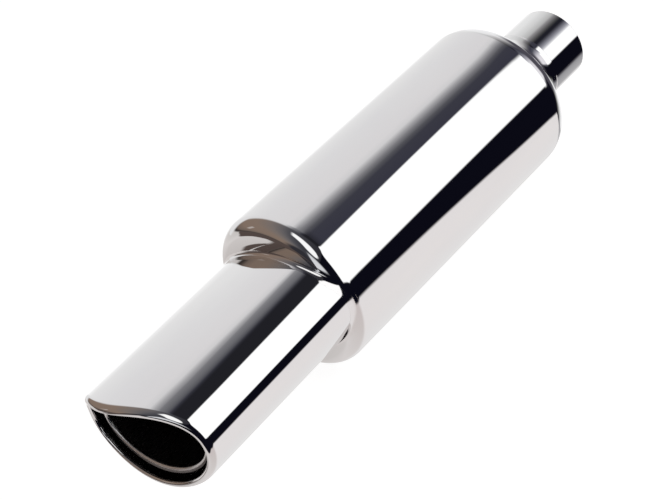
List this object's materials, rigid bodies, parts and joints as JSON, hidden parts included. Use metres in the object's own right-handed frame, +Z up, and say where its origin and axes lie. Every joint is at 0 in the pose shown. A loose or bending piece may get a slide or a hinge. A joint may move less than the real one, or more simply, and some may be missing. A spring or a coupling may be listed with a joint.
{
  "type": "straight-through muffler",
  "caption": "Round polished straight-through muffler with a slip-on inlet pipe, a perforated core in glass fibre packing and an oval double-walled tip with a scooped mouth.",
  "frame": {"origin": "centre of the inlet pipe's bore at its free end", "axes": "+X along the gas path, from the inlet to the mouth of the tip; Y along the wide way of the oval tip; +Z up"},
  "size_m": [0.5161, 0.127, 0.127],
  "materials": {
    "polished_stainless": "mirror polished stainless steel",
    "plain_stainless": "plain rolled stainless steel",
    "weld_metal": "dressed and polished weld",
    "steel_wool": "stainless steel wool",
    "glass_fibre": "continuous-strand glass fibre"
  },
  "bodies": {
    "root": {"body_shell": "polished_stainless", "shell_seam_weld": "weld_metal", "rear_girth_weld": "weld_metal", "front_girth_weld": "weld_metal", "rear_end_cap": "polished_stainless", "front_end_cap": "polished_stainless", "inlet_pipe": "polished_stainless", "outlet_sleeve": "plain_stainless", "inlet_weld": "weld_metal", "outlet_weld": "weld_metal", "core_inlet_weld": "weld_metal", "core_outlet_weld": "weld_metal", "perforated_core": "plain_stainless", "steel_wool_wrap": "steel_wool", "glass_fibre_packing": "glass_fibre", "tip_skin": "polished_stainless", "tip_base_weld": "weld_metal", "tip_liner": "plain_stainless", "liner_weld": "weld_metal", "liner_support_ring": "plain_stainless"}
  },
  "joints": []
}
